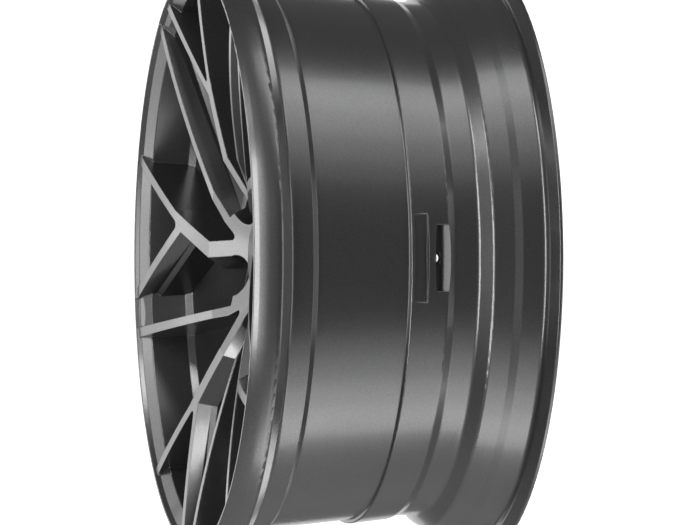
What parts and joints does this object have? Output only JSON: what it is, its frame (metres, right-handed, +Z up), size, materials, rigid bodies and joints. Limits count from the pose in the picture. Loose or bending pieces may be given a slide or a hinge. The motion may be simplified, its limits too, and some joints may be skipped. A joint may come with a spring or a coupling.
{
  "type": "alloy wheel",
  "caption": "One-piece cast alloy road wheel with a concave face of forked arms and straight blades, a deep barrel, bare valve hole and plain centre cap.",
  "frame": {"origin": "on the axle, in the plane of the rear mounting face, at the centre of the bolt circle", "axes": "+Y along the axle towards the vehicle, so the open face looks to -Y; +Z up; +X to the right as seen from the face, where the valve hole is"},
  "size_m": [0.5478, 0.2733, 0.5478],
  "materials": {
    "casting": "satin dark grey metallic paint",
    "cap": "plain gloss"
  },
  "bodies": {
    "root": {"wheel": "casting", "centre_cap": "cap"}
  },
  "joints": []
}
